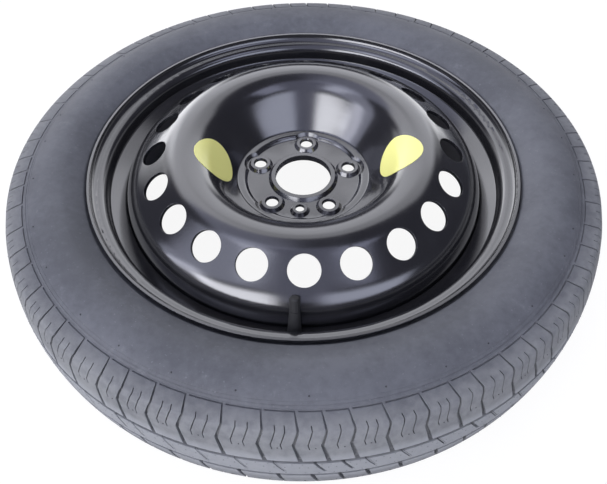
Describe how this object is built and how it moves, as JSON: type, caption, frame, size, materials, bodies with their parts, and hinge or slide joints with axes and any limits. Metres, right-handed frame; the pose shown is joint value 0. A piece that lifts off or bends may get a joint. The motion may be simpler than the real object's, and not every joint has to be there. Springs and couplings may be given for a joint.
{
  "type": "spare wheel",
  "caption": "Temporary spare road wheel: narrow tyre on a pressed steel disc wheel with a vented dish, bolt holes, centre bore and a snap-in valve.",
  "frame": {"origin": "on the wheel's axis, at the face that seats on the hub", "axes": "+Z along the wheel's axis, outboard; the wheel lies flat with its outboard side up, and -Y points to the valve's side"},
  "size_m": [0.6064, 0.6064, 0.1371],
  "materials": {
    "tyre": "matt vulcanised rubber, blue-grey black",
    "wheel_steel": "semi-gloss black dipped paint",
    "valve_rubber": "smooth moulded rubber",
    "valve_brass": "turned brass",
    "valve_steel": "bright drawn steel",
    "cap_plastic": "moulded black plastic",
    "label_film": "pale yellow vinyl film"
  },
  "bodies": {
    "root": {"tyre": "tyre", "wheel_rim": "wheel_steel", "wheel_disc": "wheel_steel", "weld_seam_1": "wheel_steel", "weld_seam_2": "wheel_steel", "weld_seam_3": "wheel_steel", "weld_seam_4": "wheel_steel", "valve_body": "valve_rubber", "valve_stem": "valve_brass", "core_body": "valve_brass", "core_spring": "valve_steel", "speed_label_left": "label_film", "speed_label_right": "label_film"},
    "pin": {"core_pin": "valve_steel", "core_seal": "valve_rubber"},
    "cap_washer": {"cap_seal": "valve_rubber"},
    "cap": {"valve_cap": "cap_plastic"}
  },
  "joints": [
    {"name": "cap_lift", "type": "slide", "parent": "root", "child": "cap_washer", "axis": [0.0199, 0.4221, 0.9063], "range_m": [0, 0.02]},
    {"name": "cap_turn", "type": "hinge", "parent": "cap_washer", "child": "cap", "pos_m": [-0.00847, -0.17951, 0.03277], "axis": [0.0199, 0.4221, 0.9063], "range_deg": [0, 2160]},
    {"name": "pin_press", "type": "slide", "parent": "root", "child": "pin", "axis": [-0.0199, -0.4221, -0.9063], "range_m": [0, 0.0015], "stiffness_N_per_m": 800, "springref_m": -0.003, "deforming": ["core_spring"]}
  ]
}
